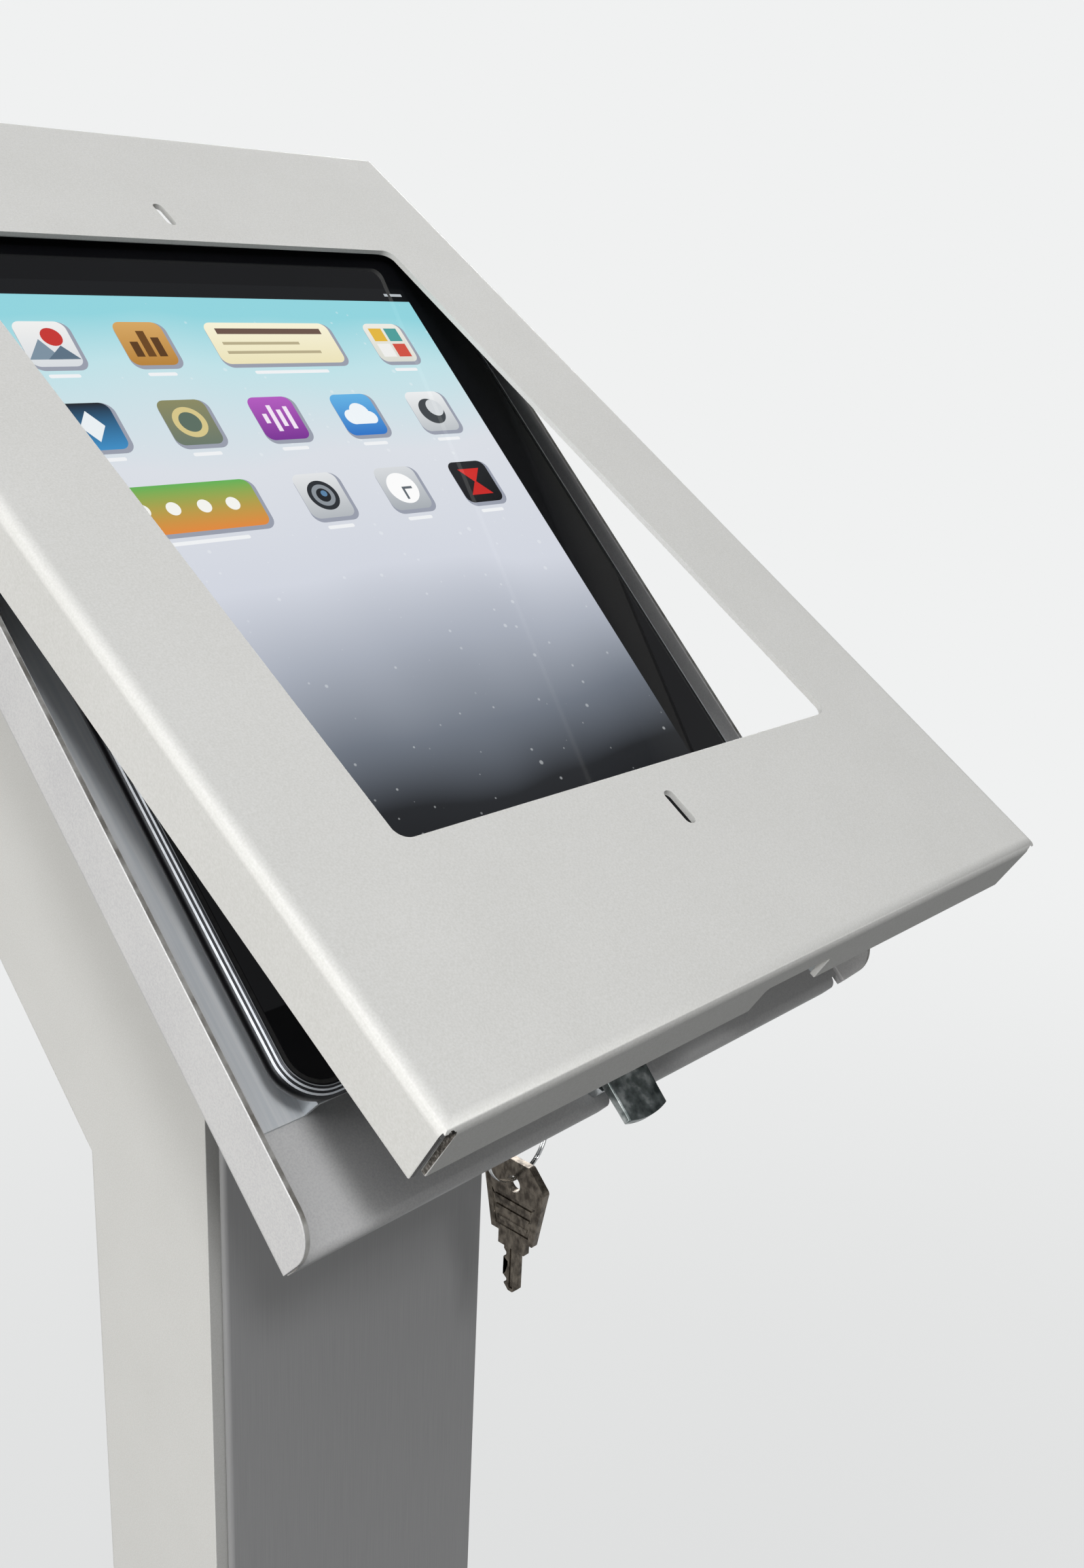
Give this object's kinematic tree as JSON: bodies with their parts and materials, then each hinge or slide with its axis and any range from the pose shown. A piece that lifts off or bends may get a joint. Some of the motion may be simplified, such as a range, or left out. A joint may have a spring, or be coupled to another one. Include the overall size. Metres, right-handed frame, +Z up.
{
  "type": "tablet floor stand",
  "caption": "Floor stand that holds a tablet in a sloping lockable tray under a pivoted cover with a window, on a folded sheet-steel post and a flat base plate.",
  "frame": {"origin": "centre of the base plate, on the floor under its feet", "axes": "+Z up, +X to the right of someone who stands in front of the screen, -Y towards them"},
  "size_m": [0.4, 0.4, 1.1837],
  "materials": {
    "warm_grey_powder": "fine satin powder coat, warm light grey",
    "tray_powder": "satin powder coat, cool light grey",
    "graphite_powder": "satin powder coat, graphite grey",
    "zinc_steel": "bright zinc plate",
    "plain_steel": "plain sheet steel",
    "nickel": "nickel plate",
    "zinc_cast": "die-cast zinc, mottled",
    "rubber": "matt black rubber",
    "nylon": "natural nylon",
    "tablet_alu": "anodised aluminium, dark",
    "tablet_black": "gloss black",
    "tablet_glass": "polished glass",
    "display": "display panel with a plain start screen",
    "battery": "foil pouch",
    "board": "circuit board"
  },
  "bodies": {
    "root": {"base_plate": "graphite_powder", "base_feet": "rubber", "base_screws": "zinc_steel", "foot_plate": "plain_steel", "post_channel": "warm_grey_powder", "post_neck": "warm_grey_powder", "post_grommet": "rubber", "front_panel": "graphite_powder", "panel_rail": "graphite_powder", "panel_screws": "zinc_steel", "head_bolts": "zinc_steel", "head_washers": "zinc_steel", "head_nuts": "zinc_steel", "tray": "tray_powder", "tray_grommet": "rubber", "tablet_cradle": "tray_powder", "cradle_pads": "rubber", "tablet_shell": "tablet_alu", "tablet_gasket": "rubber", "tablet_glass": "tablet_glass", "tablet_screen": "display", "tablet_battery": "battery", "tablet_board": "board", "pivot_screws": "zinc_steel", "pivot_washers": "nylon", "pivot_nuts": "zinc_steel", "lock_body": "zinc_cast", "lock_sleeve": "zinc_steel", "lock_nut": "zinc_steel"},
    "cover": {"front_cover": "warm_grey_powder", "lock_keeper": "zinc_steel"},
    "lock": {"lock_plug": "nickel", "lock_cam": "zinc_cast", "cam_screw": "zinc_steel", "key_in_lock": "nickel"},
    "ring": {"key_ring": "zinc_steel"},
    "spare": {"spare_key": "nickel"},
    "home": {"home_button": "tablet_black"},
    "power": {"power_button": "tablet_alu"},
    "volume": {"volume_rocker": "tablet_alu"}
  },
  "joints": [
    {"name": "cover_hinge", "type": "hinge", "parent": "root", "child": "cover", "pos_m": [0, 0.06151, 1.15123], "axis": [-1, 0, 0], "range_deg": [-11.6, 60]},
    {"name": "lock_turn", "type": "hinge", "parent": "root", "child": "lock", "pos_m": [0, -0.11493, 0.96972], "axis": [0, -0.6947, 0.7193], "range_deg": [0, 90]},
    {"name": "ring_swing", "type": "hinge", "parent": "lock", "child": "ring", "pos_m": [0, -0.09409, 0.94815], "axis": [1, 0, 0], "range_deg": [-20, 20]},
    {"name": "spare_swing", "type": "hinge", "parent": "ring", "child": "spare", "pos_m": [0, -0.09409, 0.92324], "axis": [1, 0, 0], "range_deg": [-30, 30]},
    {"name": "home_press", "type": "slide", "parent": "root", "child": "home", "axis": [0, 0.6947, -0.7193], "range_m": [0, 0.0004], "stiffness_N_per_m": 1500, "springref_m": -0.0004},
    {"name": "power_press", "type": "slide", "parent": "root", "child": "power", "axis": [0, -0.7193, -0.6947], "range_m": [0, 0.0003], "stiffness_N_per_m": 2000, "springref_m": -0.0003},
    {"name": "volume_rock", "type": "hinge", "parent": "root", "child": "volume", "pos_m": [0.0922, 0.02456, 1.12931], "axis": [0, -0.6947, 0.7193], "range_deg": [-1.5, 1.5], "stiffness_Nm_per_rad": 0.05}
  ]
}
